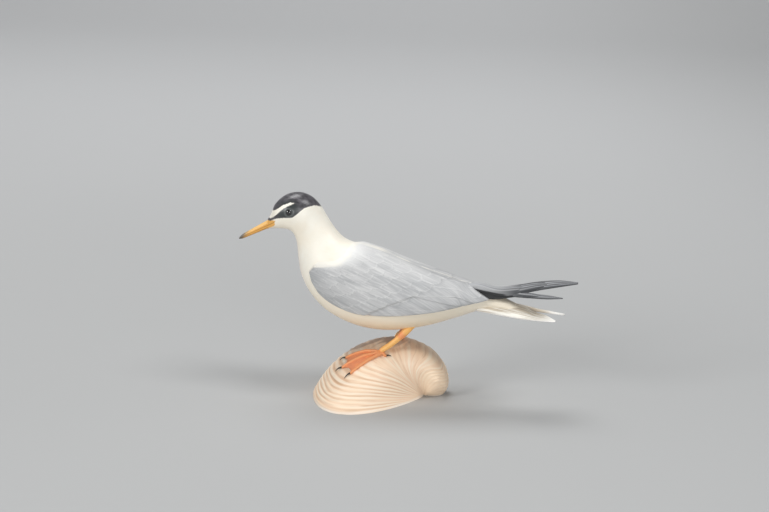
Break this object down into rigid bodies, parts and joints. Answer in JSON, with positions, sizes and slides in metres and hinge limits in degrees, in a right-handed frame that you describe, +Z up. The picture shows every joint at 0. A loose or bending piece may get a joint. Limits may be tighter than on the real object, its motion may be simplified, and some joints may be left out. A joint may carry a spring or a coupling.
{
  "type": "tern carving",
  "caption": "Carved and painted wooden tern with crossed wingtips and a forked tail, standing on webbed feet on a carved, ridged clam shell that rests on its flat underside.",
  "frame": {"origin": "on the shell's flat underside, below the bird's legs", "axes": "+Z up, the bill points along -X and the tail along +X, the bird's left side faces -Y"},
  "size_m": [0.2248, 0.0775, 0.1363],
  "materials": {
    "bird_paint": "satin oil paint on carved wood: white neck and breast, black cap, blue-grey wings, dark wingtips, cream tail, yellow bill",
    "eye_glass": "polished black-brown glass",
    "leg_paint": "satin orange paint, darker claws",
    "shell_paint": "satin paint in cream, tan and peach over carved growth ridges"
  },
  "bodies": {
    "root": {"bird": "bird_paint", "left_eye": "eye_glass", "right_eye": "eye_glass", "left_leg": "leg_paint", "right_leg": "leg_paint", "shell_base": "shell_paint"}
  },
  "joints": []
}
